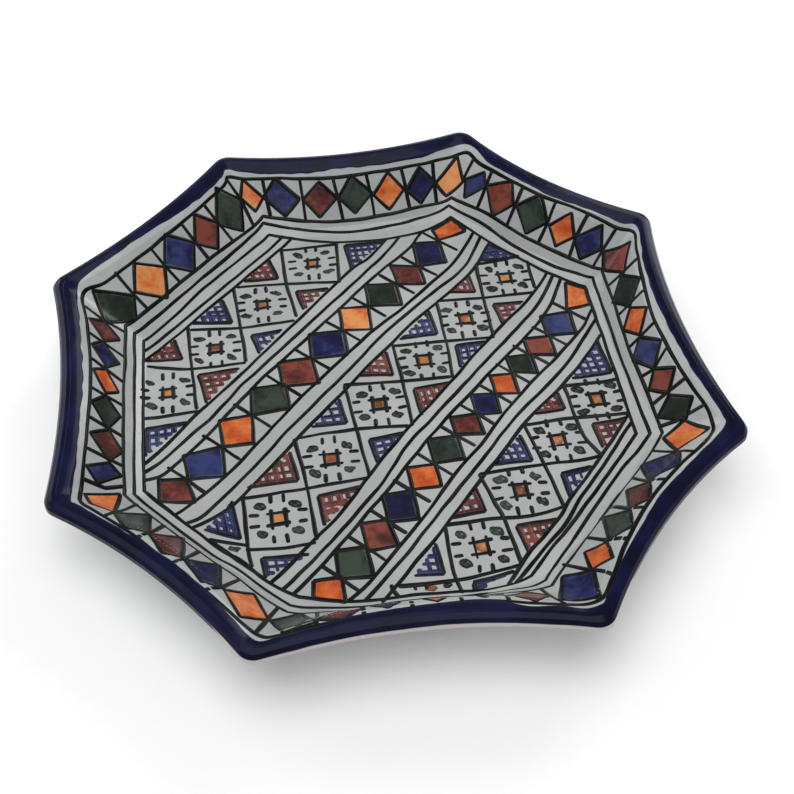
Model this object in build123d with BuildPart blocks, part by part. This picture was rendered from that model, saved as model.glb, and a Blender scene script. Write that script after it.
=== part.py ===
# A hand painted earthenware dish: an eight-pointed star with a flat floor, a sloping wall
# and a thick rolled lip.  It was pressed in one piece over a mould, a foot coil was luted
# underneath, and the fired clay was then coated with glaze.
#
# Millimetres, +Z up.  The origin is under the middle of the dish, on the plane that the
# foot stands on.  -Y is the side nearest to whoever carries the dish.

import os
from math import cos, hypot, radians, sin

from build123d import *

# ---------------------------------------------------------------- driving dimensions

crest_height = 34.0        # from the table to the top of the lip
glaze_thickness = 0.5
tip_rounding = 7.0         # radius of each point of the star, seen from above
floor_rounding = 12.0      # the same corners where the wall meets the floor

foot_outer_radius = 88.0
foot_inner_radius = 79.0
foot_edge_rounding = 1.4

rim_band_depth = 8.0       # how far below the crest the blue band ends, outside the dish

# The mould was cut by hand: each point of the star has its own bearing and reach.
tips = [
    (26.0, 148.5),
    (67.0, 153.5),
    (114.0, 152.0),
    (156.0, 152.0),
    (204.0, 148.0),
    (245.0, 148.5),
    (294.0, 152.8),
    (335.0, 152.0),
]
even_reach = 151.5         # reach of the points if the star were regular
even_half_long = 23.5      # half the angle that each of the four long sides takes up

# How far the middle of each side is drawn in, starting from the side after the first tip:
# at the lip, and at the foot of the wall, where a negative side bulges out instead.
side_hollows = [7.4, 8.0, 4.7, 5.1, 5.4, 7.5, 6.9, 6.9]
foot_hollows = [-1.0, 3.0, -1.5, -0.8, -3.0, -8.0, -7.0, 0.5]

# Sections through a point of the star, as the glazed surface runs:
# (reach, depth below the crest, share of the lip's hollows, share of the hand-made wander)
well_profile = [
    (103.0, 24.0, 0.00, 0.00),
    (109.0, 23.3, 0.05, 0.10),
    (114.0, 21.3, 0.18, 0.20),
    (118.5, 18.4, 0.40, 0.35),
    (127.5, 11.7, 0.70, 0.60),
    (136.7, 4.5, 1.00, 0.85),
    (140.0, 1.9, 1.00, 0.90),
    (142.2, 1.0, 1.00, 0.95),
    (143.8, 0.5, 1.00, 1.00),
    (145.4, 0.0, 1.00, 1.00),
]
outside_profile = [
    (103.0, 29.5, 0.00, 0.00),
    (113.0, 28.3, 0.10, 0.10),
    (122.0, 23.8, 0.40, 0.35),
    (131.5, 16.4, 0.70, 0.60),
    (140.0, 10.4, 1.00, 0.85),
    (146.0, 8.0, 1.00, 1.00),
    (149.2, 6.4, 1.00, 1.00),
    (150.5, 4.4, 1.00, 1.00),
    (150.2, 2.2, 1.00, 1.00),
    (149.0, 0.7, 1.00, 1.00),
    (146.8, 0.0, 1.00, 1.00),
]

# ---------------------------------------------------------------- outlines and sections


def star_corner(index, reach, wander):
    """One corner of the star before rounding, part regular and part hand-made."""
    bearing, tip_reach = tips[index % 8]
    side = (index % 8 + 1) // 2 * 90.0
    even_bearing = side + (even_half_long if index % 2 == 0 else -even_half_long)
    scale = reach / even_reach * (1 + (tip_reach / even_reach - 1) * wander)
    angle = radians(even_bearing + (bearing - even_bearing) * wander)
    return (even_reach * scale * cos(angle), even_reach * scale * sin(angle))


def hollow_middle(index, reach, hollow_share, wander):
    """The middle of the side that follows a corner, drawn in towards the centre."""
    ax, ay = star_corner(index, reach, wander)
    bx, by = star_corner(index + 1, reach, wander)
    length = hypot(bx - ax, by - ay)
    at_foot, at_lip = foot_hollows[index % 8], side_hollows[index % 8]
    drawn_in = at_foot + (at_lip - at_foot) * hollow_share
    return (
        (ax + bx) / 2 - (by - ay) / length * drawn_in,
        (ay + by) / 2 + (bx - ax) / length * drawn_in,
    )


def star_section(reach, depth, hollow_share, wander, shift=(0.0, 0.0)):
    """A rounded star outline as a face, on the level that lies `depth` below the crest."""
    rounding = floor_rounding + (tip_rounding - floor_rounding) * hollow_share
    with BuildSketch(Plane.XY.offset(crest_height - depth)) as section:
        with BuildLine():
            for index in range(8):
                start, middle, end = [
                    (x - shift[0], y - shift[1])
                    for x, y in (
                        star_corner(index, reach, wander),
                        hollow_middle(index, reach, hollow_share, wander),
                        star_corner(index + 1, reach, wander),
                    )
                ]
                ThreePointArc(start, middle, end)
        make_face()
        fillet(section.vertices(), rounding)
    return section


widest = max(outside_profile)
dish_middle = star_section(*widest).sketch.bounding_box().center()
centring = (dish_middle.X, dish_middle.Y)


def sunk(profile, sides):
    """The clay under a glazed profile: each point moved in by the glaze's thickness.

    `sides` is +1 where the clay lies outside the profile (the well) and -1 where it lies
    within it (the outside of the dish).
    """
    moved = []
    last = len(profile) - 1
    for index, (reach, depth, hollow_share, wander) in enumerate(profile):
        before, after = profile[max(index - 1, 0)], profile[min(index + 1, last)]
        run, rise = after[0] - before[0], before[1] - after[1]
        if index in (0, last):
            run, rise = 1.0, 0.0      # the floor, the underside and the crest are level
        length = hypot(run, rise)
        moved.append((
            reach + sides * glaze_thickness * abs(rise) / length,
            depth + sides * glaze_thickness * (run / length),
            hollow_share,
            wander,
        ))
    moved[last] = (moved[last][0], glaze_thickness, *profile[last][2:])
    return moved


def with_level(profile, depth):
    """The same profile with one more section, exactly at a depth."""
    for index, (below, above) in enumerate(zip(profile, profile[1:])):
        if below[1] > depth > above[1]:
            share = (below[1] - depth) / (below[1] - above[1])
            between = tuple(p + (q - p) * share for p, q in zip(below, above))
            return [*profile[: index + 1], between, *profile[index + 1 :]]
    return profile


def stretch(profile, lowest, highest=0.0):
    """The sections of a profile from one depth up to another."""
    return [section for section in profile if highest <= section[1] <= lowest]


def loft_profile(profile, mode=Mode.ADD):
    """Ruled loft through the star sections of a profile, from the bottom up."""
    sections = [star_section(*section, shift=centring).sketch for section in profile]
    loft(sections, ruled=True, mode=mode)


clay_well_profile = sunk(well_profile, 1)
clay_outside_profile = with_level(sunk(outside_profile, -1), rim_band_depth)

underside_depth = outside_profile[0][1]
foot_height = crest_height - clay_outside_profile[0][1]

# ---------------------------------------------------------------- clay body

with BuildPart() as clay_body:
    loft_profile(clay_outside_profile)
    loft_profile(clay_well_profile, mode=Mode.SUBTRACT)

# ---------------------------------------------------------------- foot ring

with BuildPart() as foot_ring:
    with BuildSketch():
        Circle(foot_outer_radius)
        Circle(foot_inner_radius, mode=Mode.SUBTRACT)
    extrude(amount=foot_height)
    fillet(foot_ring.edges().group_by(Axis.Z)[0], foot_edge_rounding)

# ---------------------------------------------------------------- glaze on the face

face_depths = (crest_height, glaze_thickness)

with BuildPart() as face_glaze:
    loft_profile(stretch(clay_well_profile, *face_depths))
    loft_profile(stretch(well_profile, *face_depths), mode=Mode.SUBTRACT)

# ---------------------------------------------------------------- blue glaze over the lip

# the band lies on the clay outside and, at the crest, on the top edge of the face glaze
with BuildPart() as rim_glaze:
    loft_profile(stretch(outside_profile, rim_band_depth))
    loft_profile(stretch(well_profile, glaze_thickness), mode=Mode.SUBTRACT)
    loft_profile(stretch(clay_outside_profile, rim_band_depth), mode=Mode.SUBTRACT)

# ---------------------------------------------------------------- glaze on the back

back_depths = (crest_height, rim_band_depth)

with BuildPart() as back_glaze:
    loft_profile(stretch(outside_profile, *back_depths))
    loft_profile(stretch(clay_outside_profile, *back_depths), mode=Mode.SUBTRACT)
    with BuildSketch():
        Circle(foot_outer_radius)
    extrude(amount=foot_height, mode=Mode.SUBTRACT)

with BuildPart() as base_glaze:
    with BuildSketch(Plane.XY.offset(crest_height - underside_depth)):
        Circle(foot_inner_radius)
    extrude(amount=glaze_thickness)

# ---------------------------------------------------------------- files

parts = {
    "clay_body": clay_body.part,
    "foot_ring": foot_ring.part,
    "face_glaze": face_glaze.part,
    "rim_glaze": rim_glaze.part,
    "back_glaze": back_glaze.part,
    "base_glaze": base_glaze.part,
}

os.makedirs("parts", exist_ok=True)
for name, part in parts.items():
    part.label = name
    export_step(part, f"parts/{name}.step")
    box = part.bounding_box()
    print(
        f"{name}: {len(part.solids())} solid, {part.volume / 1000:.2f} cm3,"
        f" x {box.min.X:.2f}..{box.max.X:.2f}, y {box.min.Y:.2f}..{box.max.Y:.2f},"
        f" z {box.min.Z:.2f}..{box.max.Z:.2f}"
    )
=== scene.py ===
# %% [markdown]
# # A hand painted, glazed earthenware plate
#
# The plate is one pressed clay dish with eight points. A blue glaze rolls over its lip, and inside it
# a painter has laid out everything by brush: four black rings that follow the lip, a band of small
# diamonds on the sloping wall, and slanting stripes of squares and little flower tiles on the floor.
#
# The clay and the coats of glaze come ready from the frame. What is made here is the painting:
# every brush stroke is a thin raised ribbon of colour that lies on the dish, as real pigment does.
# The camera and the places of the strokes were measured on a photograph with the help of measuring
# programs. They are lists of measured places, in millimetres, and not a pattern worked out by rule.

# %% Load the frame
import math
import random

import bmesh
import bpy
from mathutils import Matrix, Vector, noise
from mathutils.bvhtree import BVHTree
from mathutils.geometry import intersect_line_line_2d


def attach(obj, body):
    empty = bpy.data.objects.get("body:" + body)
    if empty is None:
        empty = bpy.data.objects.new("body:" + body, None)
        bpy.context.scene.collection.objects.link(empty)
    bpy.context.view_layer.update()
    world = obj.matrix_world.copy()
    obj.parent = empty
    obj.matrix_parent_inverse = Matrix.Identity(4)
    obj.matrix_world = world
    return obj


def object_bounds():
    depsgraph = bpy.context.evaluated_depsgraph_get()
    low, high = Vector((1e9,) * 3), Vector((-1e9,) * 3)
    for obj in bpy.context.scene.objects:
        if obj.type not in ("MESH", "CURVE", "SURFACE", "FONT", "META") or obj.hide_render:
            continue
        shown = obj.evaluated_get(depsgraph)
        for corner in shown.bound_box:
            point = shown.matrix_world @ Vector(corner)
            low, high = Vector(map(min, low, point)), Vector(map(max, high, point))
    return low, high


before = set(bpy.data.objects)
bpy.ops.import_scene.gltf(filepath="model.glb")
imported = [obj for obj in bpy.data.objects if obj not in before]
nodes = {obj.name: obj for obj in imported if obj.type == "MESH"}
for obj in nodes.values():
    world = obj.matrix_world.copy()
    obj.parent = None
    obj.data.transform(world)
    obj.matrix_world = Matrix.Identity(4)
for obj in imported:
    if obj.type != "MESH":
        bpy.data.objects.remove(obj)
cad_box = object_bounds()
mm = 0.001
scene = bpy.context.scene
print("parts:", sorted(nodes))
print("size in mm:", [round((b - a) / mm, 1) for a, b in zip(*cad_box)])

# %% [markdown]
# ## The camera
#
# A camera is an object that looks along its own -Z. Here its three directions are written as a
# rotation: it stands a little to the left in front of the plate, looks down at it, and is tilted
# by about a degree, as a hand held camera is.

# %% Camera
camera_place = Vector((-30.4, -315.8, 377.5)) * mm
camera_aim = Vector((3.74, -28.4, 34.0)) * mm
camera_tilt = math.radians(-1.287)

camera_data = bpy.data.cameras.new("camera")
camera_data.sensor_width = 36
camera_data.lens = 51.4
camera_data.clip_start = 0.01
camera = bpy.data.objects.new("camera", camera_data)
scene.collection.objects.link(camera)
looking = (camera_aim - camera_place).to_track_quat("-Z", "Y").to_matrix().to_4x4()
tilt = Matrix.Rotation(camera_tilt, 4, "Z")
camera.matrix_world = Matrix.Translation(camera_place) @ looking @ tilt
scene.camera = camera
print("camera looks down at", round(math.degrees(math.asin(looking.col[2].z))), "degrees")

# %% [markdown]
# ## Floor and light
#
# A glossy glaze shows its lights as reflections, so big soft panels are better than small lamps:
# their reflections are broad and pale. The world is a plain pale grey that fills in the shade.

# %% Floor and light
floor_half = 6  # half the floor's side, in metres
bm = bmesh.new()
bmesh.ops.create_grid(bm, x_segments=1, y_segments=1, size=floor_half)
floor_mesh = bpy.data.meshes.new("floor")
bm.to_mesh(floor_mesh)
bm.free()
floor = bpy.data.objects.new("floor", floor_mesh)
scene.collection.objects.link(floor)


def panel(name, place, size, power):
    """A square soft light at a place in metres, turned to the plate."""
    data = bpy.data.lights.new(name, "AREA")
    data.shape = "SQUARE"
    data.size = size
    data.energy = power
    light = bpy.data.objects.new(name, data)
    aim = (-Vector(place)).to_track_quat("-Z", "Y").to_matrix().to_4x4()
    light.matrix_world = Matrix.Translation(place) @ aim
    scene.collection.objects.link(light)


panel("top_panel", (-0.2, -0.1, 1.9), 1.8, 22)
panel("left_panel", (-1.4, 1.5, 1.1), 1.2, 10)
panel("right_panel", (1.3, 1.7, 1.2), 1.2, 19)
panel("front_panel", (0.2, -2.0, 1.0), 1.2, 5)

world = bpy.data.worlds.new("studio")
scene.world = world
world.use_nodes = True
world.node_tree.nodes["Background"].inputs["Color"].default_value = (1, 1, 1, 1)
world.node_tree.nodes["Background"].inputs["Strength"].default_value = 0.46
scene.view_settings.view_transform = "Standard"

# %% [markdown]
# ## Writing materials as sums
#
# A node tree is a calculation, so it reads best as one. `Value` holds a node's output and its
# operators add Math nodes, so `1 - wear * 0.5` is all it takes. Any other node comes from
# `Finish.node`, which takes the node's type, its settings and what goes into its sockets.


# %% Shader sums
class Value:
    """A node's output that can be added to, multiplied and so on."""

    def __init__(self, finish, socket):
        self.finish, self.socket = finish, socket

    def math(self, operation, *others):
        return self.finish.node("Math", {"operation": operation}, dict(enumerate([self, *others])))

    def __add__(self, other):
        return self.math("ADD", other)

    def __sub__(self, other):
        return self.math("SUBTRACT", other)

    def __rsub__(self, other):
        return self.math("MULTIPLY_ADD", -1.0, other)

    def __mul__(self, other):
        return self.math("MULTIPLY", other)

    def __truediv__(self, other):
        return self.math("DIVIDE", other)

    __radd__, __rmul__ = __add__, __mul__

    def between(self, low, high):
        """0 below low and 1 above high, with a smooth change between them."""
        ramp = {0: self, "From Min": low, "From Max": high}
        return self.finish.node("MapRange", {"interpolation_type": "SMOOTHSTEP"}, ramp)


class Finish:
    """One material, with a Principled shader whose constant values are given by name."""

    def __init__(self, name, **constants):
        self.material = bpy.data.materials.new(name)
        self.material.use_nodes = True
        self.tree = self.material.node_tree
        self.shader = self.tree.nodes["Principled BSDF"]
        for socket, value in constants.items():
            self.shader.inputs[socket.replace("_", " ")].default_value = value
        self.place = self.node("TexCoord", output="Object")

    def node(self, kind, settings=None, inputs=None, output=0):
        made = self.tree.nodes.new("ShaderNode" + kind)
        for key, value in (settings or {}).items():
            setattr(made, key, value)
        for key, value in (inputs or {}).items():
            self.feed(made.inputs[key], value)
        return Value(self, made.outputs[output])

    def feed(self, socket, value):
        if isinstance(value, Value):
            self.tree.links.new(value.socket, socket)
        else:
            socket.default_value = value

    def set(self, **sockets):
        for name, value in sockets.items():
            self.feed(self.shader.inputs[name.replace("_", " ")], value)

    def grain(self, size, detail=2.0, seed=0.0, squeeze=(1, 1, 1)):
        """Soft noise whose spots are about size in metres, from 0 to 1."""
        stretched = self.node(
            "Mapping", None, {"Vector": self.place, "Location": (seed, seed * 0.7, 0), "Scale": squeeze}
        )
        return self.node("TexNoise", None, {"Vector": stretched, "Scale": 0.5 / size, "Detail": detail})

    def blend(self, amount, first, second):
        """A colour between two others."""
        return self.node(
            "Mix", {"data_type": "RGBA"}, {"Factor": amount, 6: first, 7: second}, output=2
        )

    def relief(self, height, distance, under=None):
        """The normal that a height map gives, with distance as its depth in metres."""
        inputs = {"Height": height, "Distance": distance, "Strength": 1.0}
        if under:
            inputs["Normal"] = under
        return self.node("Bump", None, inputs)


def rgb(red, green, blue):
    return (red, green, blue, 1.0)


# %% [markdown]
# ## The floor's finish
#
# Plain pale card: nearly white, matt, with a hint of tooth so that it isn't a perfect plane.

# %% Pale card
card = Finish("pale_card", Roughness=0.9)
tooth = card.grain(0.004)
card.set(Base_Color=card.blend(tooth, rgb(0.92, 0.92, 0.92), rgb(0.94, 0.94, 0.94)))
floor.data.materials.append(card.material)

# %% [markdown]
# ## White glaze
#
# Tin glaze isn't pure white. It is a cool, greyish white that pools and thins, so its colour
# drifts by a few per cent over centimetres, with a dusting of pinholes and specks. Its surface is
# glassy, with long soft ripples from the brush and the kiln.


# %% White glaze
def white_glaze(name, bright=1.0, specks=0.0):
    """A glassy off-white coat. specks says how strongly dark kiln specks show."""
    glaze = Finish(name, IOR=1.5, Specular_IOR_Level=0.35)
    cloud = glaze.grain(0.02, detail=4)
    mottle = glaze.grain(0.0025, detail=3, seed=3)
    thick = rgb(0.315 * bright, 0.333 * bright, 0.33 * bright)
    thin = rgb(0.395 * bright, 0.405 * bright, 0.395 * bright)
    colour = glaze.blend(cloud.between(0.3, 0.72), thick, thin)
    colour = glaze.blend(mottle.between(0.45, 0.75) * 0.35, colour, rgb(0.28, 0.31, 0.32))
    dots = glaze.node("TexVoronoi", None, {"Vector": glaze.place, "Scale": 260.0})
    speck = (1 - dots.between(0.05, 0.14)) * glaze.grain(0.006, seed=9).between(0.52, 0.6)
    colour = glaze.blend(speck * (0.55 + specks), colour, rgb(0.12, 0.11, 0.10))
    ripple = glaze.relief(glaze.grain(0.011, detail=1, seed=5), 0.00022)
    pits = glaze.relief(glaze.grain(0.0009, detail=2), 0.00002, ripple)
    glaze.set(Base_Color=colour, Normal=pits)
    glaze.set(Roughness=0.10 + mottle * 0.16)
    return glaze.material


# %% Put the white glaze on
for node, finish in {
    "face_glaze": white_glaze("face_white"),
    "back_glaze": white_glaze("back_white", 1.03, 0.3),
    "base_glaze": white_glaze("base_white", 0.97, 0.3),
}.items():
    nodes[node].data.materials.clear()
    nodes[node].data.materials.append(finish)
    print(node, "has", len(nodes[node].data.polygons), "faces")

# %% [markdown]
# ## Bare clay
#
# The foot's flat face is wiped clean before firing, so the warm clay shows there. It is matt and
# sandy, with fine pits.

# %% Bare clay
clay = Finish("bare_clay", Roughness=0.85)
sand = clay.grain(0.0012, detail=4)
drift = clay.grain(0.015, seed=2)
warm = clay.blend(drift.between(0.3, 0.7), rgb(0.42, 0.20, 0.115), rgb(0.52, 0.28, 0.17))
clay.set(Base_Color=clay.blend(sand.between(0.55, 0.8) * 0.5, warm, rgb(0.28, 0.13, 0.075)))
clay.set(Normal=clay.relief(sand, 0.00012), Roughness=0.75 + sand * 0.2)
for node in ("clay_body", "foot_ring"):
    nodes[node].data.materials.clear()
    nodes[node].data.materials.append(clay.material)

# %% [markdown]
# ## The lip's blue
#
# Cobalt glaze is transparent: where it lies thick it is nearly black, and where it runs thin, on
# the crest and at its own edge, it turns to a brighter blue. The paler crest is also a painted
# highlight: the blue is made lighter towards the top of the lip. It was brushed on round the lip, so
# it is streaky. On the near side the brush stopped just below the crest and left the outside of the
# lip pale. The attribute `thin` is 1 at the wash's edge and 0 elsewhere.

# %% Cobalt
cobalt = Finish("lip_cobalt", IOR=1.5, Specular_IOR_Level=0.1)
clouds = cobalt.grain(0.008, detail=4)
streaks = cobalt.grain(0.0022, detail=3, seed=4)
height = cobalt.node("SeparateXYZ", None, {0: cobalt.place}, output=2)
crest = cad_box[1].z
# paler blue towards the top of the lip: partly the glaze thinning over the crest, partly a painted
# highlight
crest_thinning_and_highlight = height.between(crest - 0.004, crest - 0.0002)
edge = cobalt.node("Attribute", {"attribute_name": "thin"}, output=2)
deep, bright = rgb(0.0014, 0.0014, 0.0065), rgb(0.005, 0.007, 0.040)
blue = cobalt.blend(clouds.between(0.35, 0.7) * 0.6 + crest_thinning_and_highlight * 0.25, deep, bright)
blue = cobalt.blend(streaks.between(0.5, 0.75) * 0.4, blue, rgb(0.006, 0.008, 0.038))
blue = cobalt.blend(edge.between(0.55, 1.0) * 0.45, blue, rgb(0.012, 0.017, 0.055))
along_y = cobalt.node("SeparateXYZ", None, {0: cobalt.place}, output=1)
run_off = height + cobalt.grain(0.012, seed=12) * 0.0016
below_crest = 1 - run_off.between(crest - 0.0021, crest - 0.0016)
near_side = 1 - along_y.between(-0.123, -0.117)
blue = cobalt.blend(below_crest * near_side, blue, rgb(0.50, 0.45, 0.45))
swell = cobalt.relief(cobalt.grain(0.009, detail=1, seed=8), 0.0003)
cobalt.set(Base_Color=blue, Normal=cobalt.relief(streaks, 0.00003, swell))
cobalt.set(Roughness=0.1 + clouds * 0.12)
nodes["rim_glaze"].data.materials.clear()
nodes["rim_glaze"].data.materials.append(cobalt.material)

# %% [markdown]
# ## Brush colours
#
# Pigment under a clear glaze is watery. Each stroke is darker where the brush paused and paler
# where it ran dry, and the colour bleeds a little at its edges. The attribute `edge` is 1 along a
# stroke's or a dab's edge and 0 in its middle, and `tone` gives every stroke its own strength.


# %% Brush colours
def brush_colour(name, deep, full, pale, fade, gloss=0.2):
    """A paint that ranges from deep to pale, and lets some white through at its edges."""
    paint = Finish(name, IOR=1.5, Specular_IOR_Level=gloss)
    tone = paint.node("Attribute", {"attribute_name": "tone"}, output=2)
    edge = paint.node("Attribute", {"attribute_name": "edge"}, output=2)
    wash = paint.grain(0.0042, detail=3)
    fine = paint.grain(0.0011, detail=3, seed=6)
    level = wash * 0.9 + fine * 0.5 + tone * 0.45
    colour = paint.blend(level.between(0.6, 0.95), deep, full)
    colour = paint.blend(level.between(0.85, 1.2), colour, pale)
    bleed = (edge + fine * 0.5).between(0.85, 1.45) * fade
    colour = paint.blend(bleed, colour, rgb(0.32, 0.34, 0.33))
    paint.set(Base_Color=colour, Roughness=0.1 + fine * 0.16)
    ripple = paint.relief(paint.grain(0.011, detail=1, seed=5), 0.00022)
    paint.set(Normal=paint.relief(fine, 0.00002, ripple))
    return paint.material


paints = {
    "black": brush_colour(
        "brush_black",
        rgb(0.002, 0.002, 0.002),
        rgb(0.004, 0.005, 0.005),
        rgb(0.012, 0.015, 0.015),
        fade=0.08,
        gloss=0.1,
    ),
    "blue": brush_colour(
        "brush_blue", rgb(0.004, 0.004, 0.024), rgb(0.008, 0.010, 0.060), rgb(0.026, 0.038, 0.12), 0.15
    ),
    "orange": brush_colour(
        "brush_orange", rgb(0.38, 0.056, 0.013), rgb(0.54, 0.120, 0.028), rgb(0.60, 0.25, 0.08), 0.1
    ),
    "amber": brush_colour(
        "brush_amber", rgb(0.13, 0.040, 0.014), rgb(0.29, 0.095, 0.030), rgb(0.48, 0.20, 0.065), 0.1
    ),
    "green": brush_colour(
        "brush_green", rgb(0.007, 0.012, 0.008), rgb(0.012, 0.021, 0.014), rgb(0.032, 0.047, 0.034), 0.1
    ),
    "red": brush_colour(
        "brush_red", rgb(0.040, 0.010, 0.008), rgb(0.075, 0.018, 0.015), rgb(0.19, 0.045, 0.030), 0.12
    ),
}

# %% [markdown]
# ## Feeling for the dish's surface
#
# The painting has to lie on the dish, so a stroke asks for the height under each of its points. A
# BVH tree answers quickly: it is built from merged copies of the two glaze coats, and a ray sent
# straight down gives the place and the slope.


# %% The dish's surface
def painted_ground():
    bm = bmesh.new()
    for name in ("face_glaze", "rim_glaze"):
        bm.from_mesh(nodes[name].data)
    bmesh.ops.remove_doubles(bm, verts=bm.verts, dist=0.01 * mm)
    tree = BVHTree.FromBMesh(bm)
    bm.free()
    return tree


ground = painted_ground()
middle = Vector((0.69, -0.82)) * mm  # the painter's middle, a little off the dish's own
ray_start = 80 * mm  # well above the lip
down = Vector((0, 0, -1))


def on_dish(spot):
    """The dish's surface under a plan position in metres: (point, normal)."""
    point, normal, _, _ = ground.ray_cast(Vector((spot[0], spot[1], ray_start)), down)
    if normal.z < 0:
        normal = -normal
    return point, normal


def plan(*numbers):
    """Plan positions in mm from the painter's middle, as points in metres."""
    return [Vector(pair) * mm + middle for pair in zip(numbers[::2], numbers[1::2])]


print("floor of the dish at", round(on_dish(middle)[0].z / mm, 1), "mm")

# %% [markdown]
# ## A brush stroke
#
# A stroke starts as a flat grid two cells wide, and its points are then moved to follow a line on
# the dish. It swells and narrows as the hand's pressure changes, wanders slightly from the line, and
# has rounded ends. Its middle stands about a tenth of a millimetre proud and its edges a little less.

# %% Brush stroke
step = 1.4 * mm  # between a stroke's points
swell_length, sweep_length = 13, 9  # mm over which a stroke's width and course change
narrowest = 0.28  # an open stroke's width at its very ends, as a share
seeds = iter(range(1, 100000))


def wander(seed, along):
    """Smooth noise from about -1 to 1."""
    return noise.noise(Vector((along, seed * 7.31, 0.5))) * 1.6


def wander_on(seed, along, whole, spread, blend):
    """The same noise, blended so that a closed line ends as it starts. An open one has blend 0."""
    onward, back = wander(seed, along / spread), wander(seed, (along - whole) / spread)
    return onward * (1 - blend) + back * blend


def along_line(points):
    """Points at even steps along straight runs."""
    line = []
    for a, b in zip(points, points[1:]):
        count = max(1, round((b - a).length / step))
        line += [a.lerp(b, i / count) for i in range(count)]
    return line + [points[-1]]


def along_curve(points, closed=False):
    """Points at even steps along a smooth curve through the given ones."""
    n = len(points)
    line = []
    for i in range(n if closed else n - 1):
        if closed:
            p0, p1, p2, p3 = (points[(i + k) % n] for k in (-1, 0, 1, 2))
        else:
            p0, p1, p2, p3 = (points[min(max(i + k, 0), n - 1)] for k in (-1, 0, 1, 2))
        count = max(2, round((p2 - p1).length / step))
        for k in range(count):
            t = k / count
            line.append(
                0.5
                * (
                    2 * p1
                    + (p2 - p0) * t
                    + (2 * p0 - 5 * p1 + 4 * p2 - p3) * t**2
                    + (3 * p1 - 3 * p2 + p3 - p0) * t**3
                )
            )
    return line if closed else line + [points[-1]]


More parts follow.
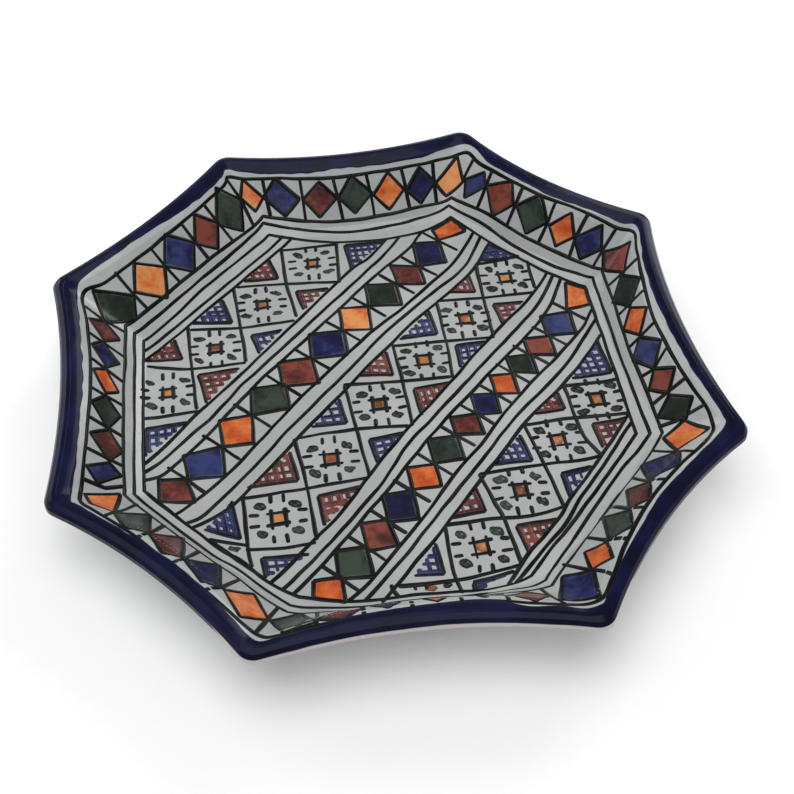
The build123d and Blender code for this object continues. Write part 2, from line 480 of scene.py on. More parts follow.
class Painting:
    """One colour's strokes and dabs, gathered into one mesh."""

    def __init__(self, name, colour, slot):
        self.name, self.colour, self.slot = name, colour, slot
        self.bm = bmesh.new()
        self.edge = self.bm.verts.layers.float.new("edge")
        self.tone = self.bm.verts.layers.float.new("tone")

    def stroke(self, line, width=1.6, closed=False, lift=0.1, sway=0.22, uneven=0.2):
        """Brushes a ribbon along points on the plan; width, lift and sway in mm."""
        seed = next(seeds)
        if not closed:
            line = self.rounded_ends(line, width * mm)
        count = len(line)
        reach = [0.0]
        for a, b in zip(line, line[1:]):
            reach.append(reach[-1] + (b - a).length)
        places = [on_dish(p) for p in line]
        grid = bmesh.ops.create_grid(self.bm, x_segments=count - 1, y_segments=2, size=1)["verts"]
        tone = random.Random(seed).random()
        half = width * mm / 2
        for vert in grid:
            i = round((vert.co.x + 1) / 2 * (count - 1))
            side = round(vert.co.y)
            last = count - 1
            point, normal = places[i % last if closed else i]
            ahead = places[(i + 1) % last if closed else min(i + 1, last)][0]
            behind = places[(i - 1) % last if closed else max(i - 1, 0)][0]
            across = normal.cross(ahead - behind).normalized()
            s, whole = reach[i] / mm, reach[-1] / mm
            blend = i / last if closed else 0
            swell = wander_on(seed, s, whole, swell_length, blend)
            sweep = wander_on(seed + 0.5, s, whole, sweep_length, blend)
            taper = 1
            if not closed:
                from_end = min(reach[i], reach[-1] - reach[i]) / half
                taper = max(narrowest, math.sqrt(1 - (1 - min(from_end, 1)) ** 2))
            shift = side * half * (1 + uneven * swell) * taper + sway * mm * sweep
            top, _ = on_dish(point.xy + across.xy * shift)
            vert.co = top + normal * (lift if side == 0 else lift * 0.65) * mm
            vert[self.edge] = abs(side)
            vert[self.tone] = min(max(tone * 0.5 + 0.25 + 0.3 * wander(seed + 0.2, s / 15), 0), 1)
        self.face_up(grid)

    def face_up(self, verts):
        """Turns the faces of one stroke or dab upwards, all together."""
        faces = list(dict.fromkeys(face for vert in verts for face in vert.link_faces))
        for face in faces:
            face.normal_update()
        if sum(face.normal.z * face.calc_area() for face in faces) < 0:
            bmesh.ops.reverse_faces(self.bm, faces=faces)

    def rounded_ends(self, line, width):
        """Adds close points at both ends, so that the ends can be drawn round."""
        first, last = line[0], line[-1]
        start = (line[1] - first).normalized() if len(line) > 1 else Vector((1, 0))
        stop = (last - line[-2]).normalized()
        steps = (0.06, 0.2, 0.5)
        head = [first + start * width * k for k in steps]
        tail = [last - stop * width * k for k in reversed(steps)]
        inner = [p for p in line[1:-1] if min((p - first).length, (p - last).length) > width * 0.75]
        return [first, *head, *inner, *tail, last]

    def dab(self, corners, inset=0.35, lift=0.05, cells=12, ragged=0.3):
        """Fills a four sided patch with colour, a little unevenly at its edges."""
        seed = next(seeds)
        tone = random.Random(seed).random()
        centre = sum(corners, Vector((0, 0))) / 4
        corners = [c - (c - centre).normalized() * inset * 1.4 * mm for c in corners]
        grid = bmesh.ops.create_grid(self.bm, x_segments=cells, y_segments=cells, size=1)["verts"]
        a, b, c, d = corners
        for vert in grid:
            u, v = vert.co.x, vert.co.y
            rim = max(abs(u), abs(v))
            if abs(u) > 0.99 and abs(v) > 0.99:
                u, v = u * 0.93, v * 0.93
            spot = a.lerp(b, (u + 1) / 2).lerp(d.lerp(c, (u + 1) / 2), (1 - v) / 2)
            if rim > 0.99:
                out = (spot - centre).normalized()
                spot = spot + out * ragged * mm * wander(seed, math.atan2(v, u) * 2.2)
            point, normal = on_dish(spot)
            vert.co = point + normal * lift * mm
            vert[self.edge] = rim**3
            vert[self.tone] = min(max(tone + 0.35 * wander(seed + 0.3, u * 0.9 + v * 0.6), 0), 1)
        self.face_up(grid)

    def leaf(self, centre, length, width, turn, lift=0.09):
        """One press of a round brush: an oval blob of colour."""
        seed = next(seeds)
        disc = bmesh.ops.create_circle(self.bm, cap_ends=True, cap_tris=True, segments=14, radius=1)
        rot = Matrix.Rotation(math.radians(turn), 2)
        for vert in disc["verts"]:
            rim = vert.co.length
            fat = 1 + 0.28 * wander(seed, vert.co.x * 1.5 + vert.co.y * 0.9)
            spot = Vector((vert.co.x * length / 2, vert.co.y * width / 2)) * fat * mm
            point, normal = on_dish(centre + rot @ spot)
            vert.co = point + normal * lift * (1 if rim < 0.5 else 0.5) * mm
            vert[self.edge] = rim
            vert[self.tone] = random.Random(seed).random()
        self.face_up(disc["verts"])

    def finish(self):
        """Gives the paint its thickness, turns it into a piece and sets it on the plate."""
        bmesh.ops.remove_doubles(self.bm, verts=self.bm.verts, dist=0.002 * mm)
        for face in self.bm.faces:
            face.smooth = True
        mesh = bpy.data.meshes.new(self.name)
        self.bm.to_mesh(mesh)
        self.bm.free()
        mesh.materials.append(self.colour)
        piece = bpy.data.objects.new(self.name, mesh)
        scene.collection.objects.link(piece)
        body = piece.modifiers.new("paint_thickness", "SOLIDIFY")
        body.thickness, body.offset = 0.25 * mm, -1
        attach(piece, "root")
        print(self.name, "has", len(mesh.polygons), "faces")
        return piece


# %% [markdown]
# ## The blue wash inside the lip
#
# The blue doesn't end at the crest: the painter carried it some way down the inside of the wall,
# further at some places than at others. It is a ribbon from that hand drawn edge to the crest.

# %% Blue wash
wash_line = [
    (67.2, 112.3, 78.9, 97.9, 90.4, 84.7, 102.4, 75.3, 118, 62.6, 124.4, 57),
    (121.1, 35.9, 119.8, 17.1, 120.1, 0, 121.6, -17.7, 123.9, -34.6, 127.4, -53, 126.5, -60),
    (111.6, -72.4, 92.5, -88.3, 77.1, -107.3, 69.5, -119.6, 63, -128),
    (55, -130.2, 46.6, -128, 35.6, -126.7, 22.4, -121.8, 5, -120.8, -12.2, -120.8, -25.9, -122,
     -39, -124.6),
    (-53.1, -127.4, -59.7, -125.2, -65.1, -117.8, -75.8, -102.9, -87, -90, -103, -75.9, -119.8, -61.7),
    (-123.6, -57, -122.6, -38.7, -121.9, -16.9, -121.7, 4.5, -124.2, 33.3, -126.3, 54.3),
    (-123.6, 61.8, -110.2, 73.8, -92.5, 89.7, -81.1, 99.2, -69.3, 111.5, -61, 122.5),
    (-57.5, 127.2, -42.7, 123.6, -23.6, 120.9, -4.3, 120.8, 15.1, 121.3, 35.1, 124, 57.4, 128.6),
]


def crest_beyond(spot):
    """The plan position where the dish reaches its crest, straight out from a spot."""
    out = (spot - middle).normalized()
    probe, probes = 0.35 * mm, 60
    best = spot
    for k in range(1, probes):
        trial = spot + out * k * probe
        hit = ground.ray_cast(Vector((trial.x, trial.y, ray_start)), down)[0]
        if hit is None:
            break
        best = trial
        if hit.z > crest - 0.15 * mm:
            break
    return best


wash = Painting("lip_wash", cobalt.material, "blue_glaze")
thin = wash.bm.verts.layers.float.new("thin")
inner = along_curve([p for side in wash_line for p in plan(*side)], closed=True)
count, cells = len(inner), 14
grid = bmesh.ops.create_grid(wash.bm, x_segments=count, y_segments=cells, size=1)["verts"]
outer = [crest_beyond(p) for p in inner]
for vert in grid:
    i = round((vert.co.x + 1) / 2 * count) % count
    share = (vert.co.y + 1) / 2
    ragged = 0.45 * mm * noise.noise(Vector((inner[i].x, inner[i].y, 0)) * 180)
    start = inner[i] + (inner[i] - middle).normalized() * ragged
    spot = start.lerp(outer[i], share)
    point, normal = on_dish(spot)
    vert.co = point + normal * 0.1 * mm
    vert[thin] = 1 - share
wash.face_up(grid)
wash.finish()

# %% [markdown]
# ## Four rings
#
# A black line marks the top of the wall, and three more run round its foot, the inner two a little
# thinner. All of them follow the lip, but loosely: some sides bow in as the lip does, and others
# bulge out.

# %% Rings
# each side as points from corner to corner, in the order upper right, right, lower right, near,
# lower left, left, upper left, far
wall_top = [
    (62.9, 115, 74.5, 100, 86.2, 87.1, 100.1, 75.5, 113.7, 63.3, 122.3, 56),
    (120.7, 43.5, 117.6, 19.2, 116.9, -0.7, 118.4, -18.5, 120.8, -35.4, 124, -53.5),
    (120.3, -62.8, 104.3, -75.2, 88.7, -89.1, 75.8, -105.2, 66.4, -119.7, 61, -127),
    (52, -128, 38, -125.5, 20, -121.6, 0, -121.2, -20, -121.9, -36.4, -123.4, -50.8, -125.5, -57, -124.3),
    (-65, -115.9, -74.9, -104.1, -88.6, -90, -101.3, -76.1, -114.2, -64.6, -120.6, -57.5),
    (-120.5, -44.3, -119.4, -20.4, -119.2, 6.2, -121.7, 35.5, -124.3, 54.8),
    (-115.2, 61.6, -102.1, 73.3, -88.5, 86.6, -72.2, 104.3, -60.5, 119),
    (-57.3, 124, -43.1, 122, -24.1, 119.1, -4.9, 117.8, 14.6, 118.8, 34.6, 121.5, 55.8, 125.2),
]
wall_foot = [
    (48.4, 109, 60.1, 96.8, 75.9, 78.3, 91.6, 62.6, 107.8, 48.6),
    (107.8, 48.6, 107.4, 27.7, 106.6, 0, 107.6, -22.1, 108.4, -47.2),
    (108.4, -47.2, 96.8, -60.6, 82.1, -74.1, 64, -93.4, 52.7, -105.3, 48.3, -111),
    (48.3, -111, 39, -112.4, 28, -111.8, 14, -110.2, 0, -109, -15, -108.8, -27, -108.8, -36, -109,
     -42.8, -108.3, -48, -106.8),
    (-48, -106.8, -56.6, -99.7, -66, -89.2, -78.2, -77.8, -107.3, -46.2),
    (-107.3, -46.2, -107.9, -25, -108.2, 0, -108.2, 25, -108.5, 46),
    (-108.5, 46, -93, 61.5, -77, 77.5, -61, 93.5, -43.8, 109.3),
    (-43.8, 109.3, -26.3, 104.9, -7.2, 102.8, 12.3, 103.4, 32.3, 106.2, 48.4, 109),
]
floor_edge = [
    (46.5, 106, 60, 91.5, 73.2, 74.7, 88, 59.5, 103.8, 47.3),
    (103.8, 47.3, 103.5, 25, 103.3, 1.6, 103.8, -22, 104.5, -44.5),
    (104.5, -44.5, 97.3, -51.8, 88.9, -58.9, 77, -71.8, 62.1, -88.7, 50.8, -101.8, 47.3, -106.5),
    (47.3, -106.5, 40.4, -109, 30, -108.4, 15, -106.9, 0, -105.9, -15, -106.1, -26, -105.8,
     -39.5, -104.3, -47, -102.4),
    (-47, -102.4, -54.4, -95.5, -66.2, -83.1, -77, -73.8, -104, -44.4),
    (-104, -44.4, -104.3, -22, -104.5, 0, -104.7, 22, -105, 43.5),
    (-105, 43.5, -90, 59, -74.5, 75, -59, 91, -44, 106.5),
    (-44, 106.5, -26, 101.5, -12.7, 98.8, -0.6, 97.9, 11.6, 98.6, 24, 100, 36.7, 102.9, 46.5, 106),
]
floor_frame = [
    (46.5, 100.5, 58, 86.2, 71.4, 70.8, 85, 56.5, 99.7, 44.5),
    (99.7, 44.5, 99.7, 22, 99.7, 0, 99.7, -21, 99.8, -42),
    (99.8, -42, 85.1, -58, 72.9, -71, 62.7, -81.8, 53.5, -90.7, 47.4, -97.2, 43, -102.3),
    (43, -102.3, 37, -104.6, 26.5, -105.3, 15.5, -104.5, 0.6, -103.3, -14.1, -103.5, -28.5, -102.4,
     -43.5, -98.3),
    (-43.5, -98.3, -53.7, -91, -64.3, -79, -72.8, -72, -100.5, -42),
    (-100.5, -42, -101, -20, -101.2, 0, -101.4, 20, -101.2, 40),
    (-101.2, 40, -87, 55, -72.6, 71.6, -57, 86.8, -42, 101.3),
    (-42, 101.3, -21, 95, -8, 92.6, 6.5, 91.5, 18, 92, 29.2, 93.5, 37, 96.3, 46.5, 100.5),
]


def cornered(sides):
    """A closed line whose sides are smooth and whose corners are sharp."""
    line = []
    for side in sides:
        line += along_curve(plan(*side))[:-1]
    return line + line[:1]


top_line = along_curve([p for side in wall_top for p in plan(*side)], closed=True)
foot_line = cornered(wall_foot)
frame_line = cornered(floor_frame)


def reach_for(points, targets, furthest, near=3):
    """Lengthens a line at both ends, by up to so many mm, until it meets one of the target lines.

    Where the meeting point is within near mm of the tip, it takes the tip's place.
    """
    for end, inside in ((0, 1), (-1, -2)):
        tip = points[end]
        onward = tip + (tip - points[inside]).normalized() * furthest * mm
        meets = [
            intersect_line_line_2d(tip, onward, a, b)
            for target in targets
            for a, b in zip(target, target[1:])
        ]
        meets = sorted((m for m in meets if m), key=lambda m: (m - tip).length)
        if meets:
            keep_tip = (meets[0] - tip).length > near * mm
            rest = points if keep_tip else [p for p in points if p is not tip]
            points = meets[:1] + rest if end == 0 else rest + meets[:1]
    return points


black_rings = Painting("wall_rings", paints["black"], "paint_black")
black_rings.stroke(top_line + top_line[:1], 1.7, closed=True)
for sides, width in ((wall_foot, 1.7), (floor_edge, 1.55), (floor_frame, 1.5)):
    black_rings.stroke(cornered(sides), width, closed=True)
black_rings.finish()

# %% [markdown]
# ## Diamonds on the wall
#
# Between the first and second ring a chain of diamonds runs round the wall: orange, red-brown,
# green and blue in turn. Each is a dab of colour with an outline of four strokes, and a further
# stroke from ring to ring crosses the place where two neighbours touch.

# %% Wall diamonds
wall_diamonds = {
    "orange": [
        (-53.5, 116, -51.5, 123.5, -42.5, 115.5, -47, 111),
        (10, 111, 18.5, 118.5, 25.5, 112.5, 17, 105.5),
        (41, 115, 53.5, 125, 54.5, 113, 46, 110),
        (-102.5, 72, -90, 74.5, -90.5, 62.5, -103.5, 61),
        (-114.5, 14, -118.5, 10.5, -114, 0.5, -110, 4.5),
        (-119.8, -52.5, -108.7, -46.5, -108.4, -62.5, -116.5, -59.3),
        (-68.9, -101.8, -59.2, -99.1, -54.2, -113.5, -63.4, -115.8),
        (-4, -113.5, 4.5, -119.6, 13, -113.5, 4.5, -109),
        (62.9, -99.6, 70.0, -101.2, 68.9, -111.3, 61.5, -111.6),
        (107.8, -50, 116.1, -47.3, 121.9, -57.5, 108.1, -63),
        (111.5, 16.5, 116, 10, 111, 0.5, 107, 8.5),
        (88.5, 74.5, 98.5, 74, 98.5, 65.5, 90, 66),
    ],
    "red": [
        (-24, 112, -15.5, 117, -7.5, 111, -16.5, 105),
        (-75, 100.5, -65, 101, -66, 90, -76, 88.5),
        (-116.5, 43.5, -121.5, 40.5, -115.5, 30.5, -110.5, 36),
        (-112.5, -18, -118.5, -23.5, -112.5, -32.5, -108, -26),
        (-95.5, -74.8, -84.7, -69, -83.0, -87.5, -89.8, -86.5),
        (-37.4, -120.5, -29.5, -111, -21, -117.5, -28.5, -122.6),
        (29, -117, 38, -124.6, 45.3, -119, 38, -113.5),
        (86.8, -72.5, 92.8, -77.0, 89, -88.6, 81.5, -89.0),
        (112, -19, 118, -25, 114, -33, 108.5, -26),
        (108.4, 48, 110, 55.2, 120, 51.5, 114, 37),
        (64.5, 104.5, 75.5, 98.5, 74.5, 90, 65, 91.5),
    ],
    "green": [
        (-7, 111, 0.5, 118, 9.5, 111.5, 0.5, 105),
        (-64, 116.5, -53.5, 115.5, -54, 101.5, -65.5, 100.5),
        (-120.5, 57.5, -104, 59.5, -104, 50.5, -116.5, 43.5),
        (-114, -1, -118.5, -8, -113, -17, -109, -8),
        (-108.4, -63.2, -97.5, -56.5, -95.3, -74.2, -103.5, -73.5),
        (-53.4, -114, -43.4, -108.2, -37.5, -121.5, -49, -125.0),
        (13, -113.5, 21.5, -119.6, 29, -114, 21.5, -110),
        (75.0, -82.5, 81.6, -89.9, 79, -99.6, 70.6, -101.0),
        (114, -34, 120.5, -41, 116.5, -47.5, 108.5, -39.5),
        (113, 37, 117.5, 27, 111.5, 17, 107, 27),
        (76, 89, 86.5, 87, 88, 76, 78.5, 77),
    ],
    "blue": [
        (-42.5, 115.5, -36, 121, -25.5, 112.5, -33, 107.5),
        (26.5, 112, 34, 120.5, 40.5, 115.5, 33, 107.5),
        (-88.5, 87.5, -76.5, 88.5, -77.5, 77, -90, 75),
        (-116.5, 29.5, -119.5, 24.5, -114.5, 15.5, -110, 21),
        (-112.5, -33.5, -119.5, -39.5, -116, -45, -108.5, -37.5),
        (-82.6, -88.3, -71.3, -84, -69.8, -101.4, -76.5, -99.8),
        (-21, -115, -12.5, -109, -4, -113.5, -12.5, -119.6),
        (53.0, -107.8, 62.0, -112.5, 60.2, -125.8, 47.2, -124),
        (96.0, -60.8, 108.0, -64.8, 104.2, -74.4, 93.2, -76.2),
        (111, -0.5, 116.5, -9.5, 112, -19, 106.5, -8.5),
        (54, 106, 55.5, 113.4, 64.3, 110, 63.8, 104.4),
        (98.5, 65, 110.5, 64.5, 109, 56.5, 99.5, 57),
    ],
}
wall_strokes = [
    # far side
    (-58.5, 122, -53.5, 115.5, -50, 108),
    (-42, 121, -40.5, 110),
    (-24.5, 119, -23.5, 106),
    (-8.5, 118, -6, 105),
    (8, 118.5, 9.5, 105),
    (25, 120, 27, 106.5),
    (41, 122, 40.5, 108.5),
    (54, 113, 60, 118.5),
    # upper left side
    (-70, 106, -65, 101, -60, 96.5),
    (-81, 94, -76, 89, -71, 84.5),
    (-95.5, 80, -90, 75, -84, 70.5),
    (-111, 66.5, -104, 60, -98, 55.5),
    # left side
    (-123.5, 47.5, -116.5, 44, -109, 42),
    (-121, 31, -110, 27),
    (-119, 16, -109.5, 12),
    (-119, 0, -108, -2),
    (-119, -16, -108, -18),
    (-119, -31.5, -107.5, -32.5),
    (-120.5, -46, -113.5, -46, -107.5, -42),
    # lower left side
    (-102.4, -50.1, -108, -62.8, -110.3, -66.5),
    (-91.7, -62.1, -95.2, -74.5, -98.4, -78.4),
    (-78.5, -76.4, -82.5, -88.2, -86.5, -91.5),
    (-65, -91.8, -69.8, -101.4, -74.6, -103.9),
    (-51.1, -105, -53.8, -111.5, -58.3, -122.8),
    # near side
    (-37.3, -110.9, -37.5, -122.8),
    (-21, -111.5, -21, -121.5),
    (-4, -113, -4, -121),
    (13, -114, 13, -121),
    (29, -115, 29, -122.8),
    (44.1, -113.5, 45.6, -122, 47.9, -127.3),
    # lower right side
    (107.7, -43.6, 113.9, -45.9, 122, -46.7),
    (102.1, -55.1, 108.3, -65.1, 111.5, -69.5),
    (91.3, -68, 93.1, -76.9, 97.4, -80.8),
    (79.3, -77.4, 81.8, -89.1, 86.2, -92.4),
    (66.7, -90.9, 70.5, -100.6, 75.6, -104.4),
    (54.9, -100.5, 61.2, -111.5, 66, -117.5),
    # right side
    (108, 37, 119, 38.5),
    (106.5, 17.5, 117, 19.5),
    (106.5, -1.5, 117, 0.5),
    (107.5, -18, 112, -19, 117.5, -14.5),
    (108.5, -33, 119, -32),
    # upper right side
    (59, 98.5, 64, 104.5, 66.5, 107),
    (70.5, 84, 76, 90, 79.5, 94),
    (83.5, 71.5, 88.5, 76, 93, 82),
    (95.5, 60, 99, 65, 104.5, 70),
    (104.5, 51.5, 109.5, 56, 116, 61),
]


def four_corners(points):
    """A patch's four corners; a corner diamond with five sides gives up its flattest one."""
    while len(points) > 4:
        n = len(points)
        flat = [(points[i] - points[i - 1]).cross(points[(i + 1) % n] - points[i]) for i in range(n)]
        points = [p for i, p in enumerate(points) if i != min(range(n), key=lambda k: abs(flat[k]))]
    return points


def outline(painting, points, width=1.7):
    """Draws a patch's sides one after another, each as its own short stroke."""
    for a, b in zip(points, points[1:] + points[:1]):
        overshoot = (b - a).normalized() * 0.4 * mm
        painting.stroke(along_line([a - overshoot, b + overshoot]), width)


wall_black = Painting("wall_outlines", paints["black"], "paint_black")
for colour, patches in wall_diamonds.items():
    dabs = Painting("wall_diamonds_" + colour, paints[colour], "paint_" + colour)
    for patch in patches:
        points = plan(*patch)
        dabs.dab(four_corners(points), inset=0.2)
        outline(wall_black, points)
    dabs.finish()
for line in wall_strokes:
    wall_black.stroke(along_line(reach_for(plan(*line), [top_line, foot_line], 4.5)), 1.7)
wall_black.finish()

# %% [markdown]
# ## Slanting stripe lines
#
# The floor's pattern is ruled by eye in groups of three lines that climb from lower left to upper
# right. Positions are easiest to give along that slant: `s` runs up it and `q` across it. Each of
# the three groups below holds, for every line, its start, its `q` at each of the stations and its
# end. The values of `q` are the places where a measuring program found the line in the photograph.

# %% Stripe lines
def slant(s, q):
    """A plan position from its place along and across the slant, in mm."""
    root = math.sqrt(2)
    return Vector(((s + q) / root, (s - q) / root)) * mm + middle


stations = (-80, -60, -40, -20, 0, 20, 40, 60, 80)
second_group = (
    ((-88, -54.5), (-21.1, -21.4, -22.7, -23.5, -23.4, -23, -21, -20, -19.6), (54.5, 87.5)),
    (
        (-84.5, -59.5, -77, -56),
        (-14.6, -15.2, -16.4, -16.6, -16.8, -17.8, -17.1, -15.3, -13.7),
        (57.5, 84),
    ),
    ((-80, -61, -67, -54), (-9.4, -9.4, -10.5, -10.6, -11.6, -11.5, -11.6, -9.8, -9.3), (60, 78)),
)
third_group = (
    ((-52.5, -90), (27.1, 27.2, 25, 23.5, 22.8, 22.5, 21.5, 21.4, 22.1), (84, 56)),
    ((-49, -94), (32.8, 32.3, 31.4, 28.2, 28, 27.9, 27.7, 27.7, 27.3), (86.5, 53.5)),
    ((-45, -96.5), (36.6, 36, 35.2, 33.5, 32.7, 32.9, 33, 33.8, 32.7), (89, 50)),
)
fourth_group = (
    ((-26, -103), (55.5, 55, 54.3, 52.3, 51.9, 50.5, 50.4, 51.4, 51), (99.5, 30.5)),
    ((-19.5, -103.5), (59.5, 59.2, 58.2, 57.4, 56.4, 55.4, 56.6, 56.7, 55.3), (99, 23.5)),
    ((-13.5, -105), (65.6, 64.2, 63.6, 62.3, 61.5, 60.1, 61.5, 61.7, 60.8), (99, 14)),
)
first_group = (
    (-100.5, -28.3, -95.2, -22.8, -89.5, -16.8, -81.1, -6.7, -72, 2.3, -57.5, 17.3, -44.4, 31.3,
     -31.4, 45.2, -18.3, 59.2, -5.2, 73.1, 3.2, 79.2, 12.3, 89.7),
    (-100.5, -32.7, -92.7, -26.5, -82.9, -16.7, -72.3, -6.6, -61.2, 7, -52.7, 15.9, -38.8, 29.9,
     -24.9, 43.9, -11, 57.9, 2.9, 71.9, 11.1, 80.6, 18.3, 89.7),
    (-100.5, -36.8, -93, -34, -84.1, -26.1, -76.2, -17.7, -63.8, -3.8, -53.1, 8.7, -37.5, 24.3,
     -21.9, 39.8, -6.3, 55.4, 9.3, 70.9, 22.7, 82.4, 29.5, 91.6),
)
stripes = Painting("stripe_lines", paints["black"], "paint_black")


def stripe_line(start, across, stop):
    """One long ruled line with its own bends at both ends."""
    run = [slant(s, q) for s, q in zip(stations, across)]
    start, stop = plan(*start), plan(*stop)
    up = slant(1, 0) - slant(0, 0)
    clear = 9 * mm  # a station nearer than this to the start or the end is left out
    run = [p for p in run if (p - start[-1]).dot(up) > 0 and (stop[0] - p).dot(up) > 0]
    run = [p for p in run if min((p - start[-1]).length, (p - stop[0]).length) > clear]
    return start + run + stop


stripe_lines = [stripe_line(*line) for line in second_group + third_group + fourth_group]
stripe_lines += [plan(*line) for line in first_group]
# two more lines in the upper left corner and two in the lower right one only frame the floor
stripe_lines += [[slant(s, q) for s in (-44, -20, 0, 20, 46)] for q in (-95.5, -91.4)]
stripe_lines += [
    plan(99.7, -31, 87.5, -45.6, 77.2, -56.8, 65.5, -69.9, 59.2, -78, 45, -91.1, 34.5, -104),
    plan(98.5, -37, 80.8, -57.4, 69, -70.4, 62, -79.8, 54.4, -87, 47.1, -93.8, 36.5, -104.5),
]
for points in stripe_lines:
    stripes.stroke(along_curve(reach_for(points, [frame_line], 9)), 1.6, uneven=0.15)
stripes.finish()

# %% [markdown]
# ## Squares in the narrow stripes
#
# Two narrow stripes each hold a chain of squares that touch at their corners. A black stroke crosses
# the stripe through every such corner, which leaves little white triangles along both sides.

# %% Squares
squares = {
    "red": [
        (-95, -36.5, -84, -38, -80.5, -49.5, -94.5, -47.5),
        (-43, 19.5, -28.5, 20, -26.5, 5, -42, 5.5),
        (13.5, 73, 26.5, 70, 27.5, 58.5, 15, 60),
        (-17, -69, -6.5, -69, -4, -81, -16, -82),
        (26, -22, 37, -21.5, 38.5, -32.5, 27, -31),
        (65, 17.5, 77, 17.5, 77.5, 6, 66, 8),
    ],
    "blue": [
        (-85, -25.5, -69, -23.5, -68.5, -38.5, -83, -38),
        (-28.5, 34.5, -13, 34, -12.5, 20, -28.5, 19.5),
        (26, 86.5, 38.5, 85.5, 39.5, 71, 26, 70.5),
        (-7, -57, 5, -56.5, 5.5, -70, -6.5, -70),
        (36.5, -11, 47, -12, 47, -22.5, 37, -22),
        (75.5, 30, 89, 31, 89, 17.5, 76.5, 18),
    ],
    "orange": [
        (-70, -9.5, -56, -8.5, -56, -23.5, -68.5, -23.5),
        (-13.5, 48.5, -0.5, 47.5, -0.5, 33.5, -13.5, 34.5),
        (36.5, 94.5, 46.5, 99.5, 52, 91, 38.5, 87),
        (-37.5, -92, -27, -92, -26.5, -103, -38, -99.5),
        (4.5, -45, 16, -45, 16.5, -56, 5, -56),
        (46.5, -1.5, 56.5, -2, 57, -13, 47, -12),
        (91.5, 49, 99.5, 43.5, 99.5, 33.5, 88.5, 32.5),
    ],
    "green": [
        (-56, 6, -41, 6.5, -40, -7, -56, -8.5),
        (0, 62, 14, 60, 15, 46.5, 0, 48),
        (-28, -80, -16.5, -80, -15, -93, -28, -92.5),
        (15, -32, 27, -32, 28, -44, 16, -44.5),
        (55.5, 8, 66.5, 8, 67, -3, 56.5, -1),
    ],
}
# where neighbours touch, and how far a crossing stroke reaches to each side
upper_joints = [
    (-84, -38), (-69.5, -23.5), (-56, -8.5), (-41.5, 5.7), (-28.5, 19.7),
    (-13, 34.2), (-0.3, 47.8), (14.5, 60.2), (26.5, 70.5), (38.8, 86),
]
lower_joints = [
    (-27.5, -92), (-16.2, -80.5), (-6.5, -69.5), (4.7, -56.5), (15.7, -44.7), (27, -31.7),
    (37.2, -21.7), (47, -12), (56.7, -1.7), (66.3, 8), (77, 17.8), (89, 31.5),
]
square_black = Painting("square_outlines", paints["black"], "paint_black")
for colour, patches in squares.items():
    dabs = Painting("squares_" + colour, paints[colour], "paint_" + colour)
    for patch in patches:
        points = plan(*patch)
        dabs.dab(points, inset=0.2)
        outline(square_black, points)
    dabs.finish()
for joints, reach in ((upper_joints, 10.6), (lower_joints, 9.3)):
    for x, y in joints:
        touch = plan(x, y)[0]
        across = Vector((1, -1)).normalized() * reach * mm
        square_black.stroke(along_line([touch - across, touch, touch + across]), 1.6)
square_black.finish()

# %% [markdown]
# ## Flower tiles and hatched corners
#
# The wide stripes are a grid turned by an eighth of a circle. From each node one line runs across
# and one up, out to the stripe's sides. On both sides of a node lies a triangle hatched in blue or
# red-brown, and the square between one node and the next holds a flower: an amber heart in a
# frame of four strokes, four green leaves, and pairs of ticks on the sides.

# %% Grid lines
grid_lines = [
    # first wide stripe
    (-100, 25, -80.5, 21.5, -57, 21.5), (-82, 47, -80.5, 21.5, -79, -2),
    (-81, 45, -58.5, 43, -34, 44), (-60.5, 69, -58.5, 43, -57, 22),
    (-59, 69, -36, 68, -12, 65.5), (-37, 93, -36, 68, -33, 46),
    (-10.2, 93, -10.6, 85, -11.5, 65), (-101, -4.5, -78, -3), (-36.5, 91, -10.5, 91.3),
    # second wide stripe
    (-62, -74.5, -47, -76, -35, -75), (-62, -50, -61, -74.5, -60, -83),
    (-62.5, -50.5, -36.3, -49.3, -11, -47.7), (-39.5, -23.5, -36.3, -49.3, -34.5, -74),
    (-38, -23.5, -13.5, -22.3, 8.5, -24), (-16, 2, -13.5, -22.3, -11, -47),
    (-16.5, 2.5, 9, 1, 30, 0.5), (7.5, 22, 9, 1, 9.7, -24),
    (7, 22, 31.2, 21.3, 53, 20.5), (31, 46, 31.2, 21.3, 30.5, -0.5),
    (31, 46.5, 52.5, 45.5, 76, 45.5), (53, 68, 52.5, 45.5, 52.5, 21),
    (52.5, 67.5, 74, 70), (77, 66, 77, 48),
    (-76, -68, -56, -88), (-76, -68, -61, -73), (-9, -97.5, -8.8, -100, -6.8, -103.2),
    # third wide stripe
    (-6.5, -98.7, 16.8, -99.3, 28.2, -98, 40.5, -96), (15, -75, 15, -94.7, 16.6, -105.5),
    (15, -74.5, 32.8, -74.2, 48.5, -74.8, 63.3, -72.5), (32.5, -52, 35.6, -65.5, 38.1, -74, 41, -96),
    (32.5, -52.5, 59.5, -51.2, 74, -51.6, 83, -50.4), (55.3, -31, 59.5, -51.2, 62.5, -73),
    (55, -30.3, 77.5, -29.6, 100, -30.8), (76.5, -12, 77.7, -30.9, 79.1, -40.7, 83, -50.4),
    (76, -12, 99.5, -12),
]
tile_black = Painting("tile_lines", paints["black"], "paint_black")
for line in grid_lines:
    tile_black.stroke(along_curve(plan(*line)), 1.7)

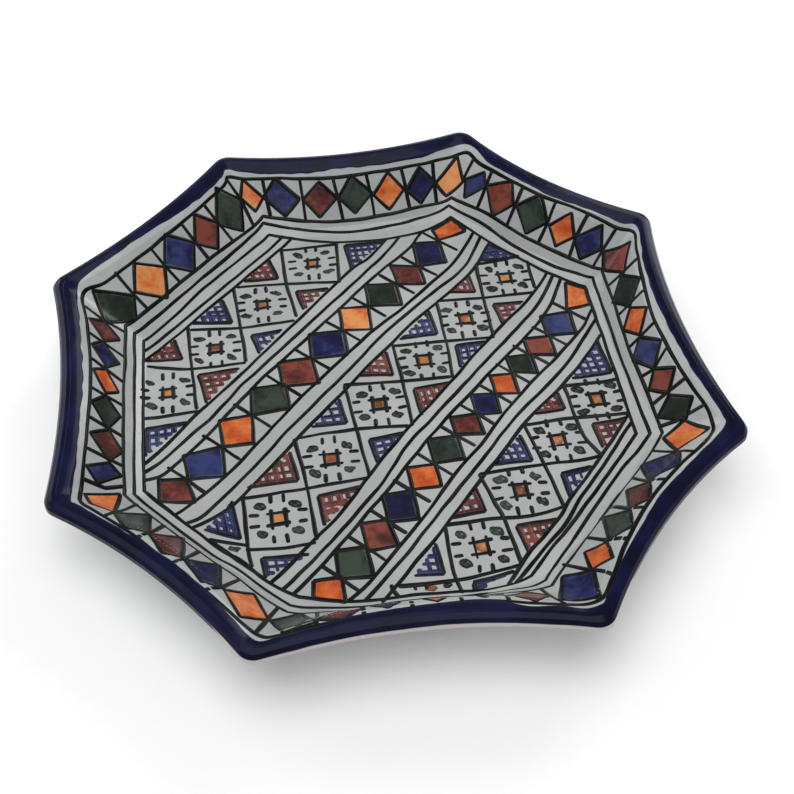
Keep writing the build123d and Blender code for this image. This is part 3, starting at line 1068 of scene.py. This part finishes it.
# %% Hatched triangles
# each one: the end beside the node's level line, the square corner, the end beside its upright
hatched = {
    "red": [
        (-101, 28.5, -84.5, 27.5, -88, 40),
        (-55.5, 72.5, -39.5, 72, -43.5, 85.5),
        (-60, 18.5, -78, 17.5, -74.5, 1),
        (-17, 62, -32, 62.5, -29.5, 50),
        (-60, -45.5, -39.5, -45, -42, -30),
        (-10, 7, 5.5, 4.8, 4, 19),
        (37, 51.5, 49.5, 49.5, 48.5, 61),
        (-15, -51.5, -32.5, -53.5, -31, -68),
        (29, -2.5, 13, -4.2, 14.5, -19),
        (70, 40.5, 56, 40.5, 58, 28),
        (18, -71.5, 32, -70.5, 30, -58.5),
        (61, -25, 74, -24.5, 73, -15),
        (58.9, -77.7, 42.3, -78.8, 44.4, -91.9),
        (98.8, -33, 83.4, -33.9, 84.7, -46.7),
    ],
    "blue": [
        (-80, 48.5, -62, 46.5, -66, 62),
        (-83, -8, -100.3, -9.7, -99.8, -24.5),
        (-40, 39, -54, 37.5, -51, 26),
        (13, 90, -6.5, 90.3, -5.2, 73),
        (-77.5, -63, -63.5, -69.5, -66.5, -51),
        (-32, -18.5, -17, -18.5, -19, -5),
        (11, 25.5, 28, 26, 26.5, 41),
        (55, 70, 74, 69, 61, 80),
        (-38, -80, -56, -79, -55, -88.5),
        (6, -27, -9, -28.5, -7, -41),
        (49, 18.5, 34.8, 18, 34.8, 5),
        (0, -95, 11.5, -96, 10, -82),
        (39, -48.5, 55, -49, 52.5, -35),
        (81, -8, 98.5, -8, 97, 12),
        (37.5, -98.6, 21.2, -101.4, 21.1, -105.2),
        (78, -54.8, 64.9, -57, 65.7, -69),
    ],
}


def hatch(painting, tip, corner, top, gap=3.5, width=2.0):
    """Crosses a triangle with two sets of lines, each set parallel to one of its legs."""
    for first, second in ((tip, top), (top, tip)):
        count = max(2, round((first - corner).length / (gap * mm)))
        for k in range(count):
            share = (k + 0.35) / count
            start = corner.lerp(first, share)
            stop = start + (second - corner) * (1 - share) * 0.96
            if (stop - start).length > 1.5 * mm:
                painting.stroke(along_line([start, stop]), width, lift=0.08, sway=0.35, uneven=0.4)


for colour, triangles in hatched.items():
    lines = Painting("hatching_" + colour, paints[colour], "paint_" + colour)
    for triangle in triangles:
        tip, corner, top = plan(*triangle)
        hatch(lines, tip, corner, top)
        tile_black.stroke(along_line([tip, corner]), 1.6)
        tile_black.stroke(along_line([corner, top]), 1.6)
    lines.finish()
tile_black.finish()

# %% Flowers
flowers = [
    (-91, 9), (-70, 32), (-48, 56), (-23, 80),
    (-48.5, -62), (-25.5, -36), (-2.5, -10.5), (20, 11.5), (42, 33.5), (65, 57),
    (27.3, -86.2), (47.3, -62.6), (67.8, -40.2), (88.8, -21),
]
hearts = Painting("flower_hearts", paints["amber"], "paint_orange")
leaves = Painting("flower_leaves", paints["green"], "paint_green")
petals = Painting("flower_strokes", paints["black"], "paint_black")
slip = 0.3  # how far, in mm, the hand may miss
tick_start, tick_end = 11.5, 7.4
leaf_across, leaf_up, leaf_length = 7, 6.3, 5.4


def flower(centre, hand, small, round_heart):
    """One flower. hand is its own random generator; the first wide stripe's flowers are small."""

    def place(u, v):
        return centre + Vector((u + hand.uniform(-slip, slip), v + hand.uniform(-slip, slip))) * mm

    half, arm, leaf_width = (1.8, 4.1, 3.2) if small else (2.2, 4.9, 3.9)
    if round_heart:
        hearts.leaf(place(0, 0), 5.2, 5.2, 0)
    else:
        corners = [place(-half, half), place(half, half), place(half, -half), place(-half, -half)]
        hearts.dab(corners, inset=0, cells=5)
    for side in (-half - 0.5, half + 0.5):
        petals.stroke(along_line([place(side, -arm), place(side, arm)]), 1.7, uneven=0.35)
        petals.stroke(along_line([place(-arm, side), place(arm, side)]), 1.7, uneven=0.35)
        for far in (-1, 1):
            start, end = tick_start * far, tick_end * far
            petals.stroke(along_line([place(side, start), place(side, end)]), 1.7)
            petals.stroke(along_line([place(start, side), place(end, side)]), 1.7)
            spot = place(math.copysign(leaf_across, side), leaf_up * far)
            leaves.leaf(spot, leaf_length, leaf_width, hand.uniform(-50, 10))


for number, (x, y) in enumerate(flowers):
    flower(plan(x, y)[0], random.Random(number), small=number < 4, round_heart=number >= 10)
# two cells are cut short by the frame and hold only bits of a flower
leaves.leaf(plan(-66.5, -73.6)[0], 5.5, 2.6, -12)
leaves.leaf(plan(11.6, -101.0)[0], 3.6, 2.6, 0)
hearts.leaf(plan(5.2, -101.4)[0], 5.4, 2.6, -5)
for x in (-0.6, 3.6):
    petals.stroke(along_line(plan(x, -98.8, x + 0.6, -101.4)), 1.6)
hearts.finish()
leaves.finish()
petals.finish()
